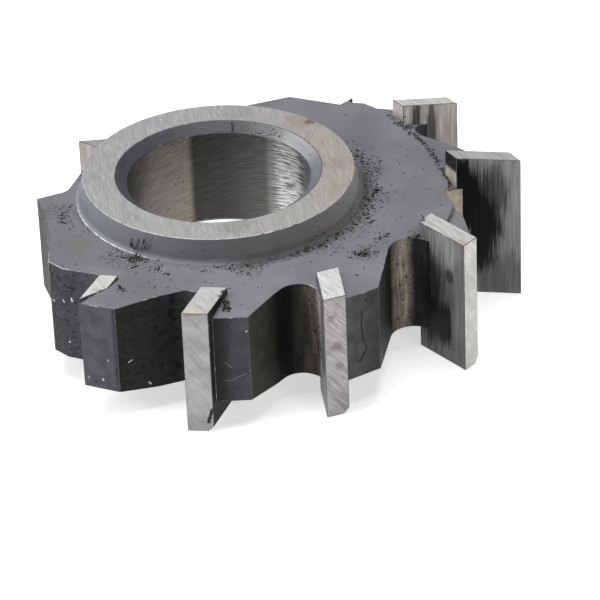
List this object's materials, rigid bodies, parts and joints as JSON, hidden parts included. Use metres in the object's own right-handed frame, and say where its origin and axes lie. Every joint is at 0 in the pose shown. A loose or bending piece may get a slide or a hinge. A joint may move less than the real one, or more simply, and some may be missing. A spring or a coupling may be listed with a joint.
{
  "type": "involute gear cutter",
  "caption": "Worn bored gear cutter with a raised hub ring, a thick toothed body and upright cutting blades round its rim.",
  "frame": {"origin": "on the bore axis, halfway along the bore wall", "axes": "+Z along the bore axis, out of the hub's raised end; +X towards the longest blade's side"},
  "size_m": [0.1052, 0.095, 0.0337],
  "materials": {
    "tool_steel": "dark oxidised steel with ground lands, rake faces, bore and hub ring"
  },
  "bodies": {
    "root": {"gear_cutter": "tool_steel"}
  },
  "joints": []
}
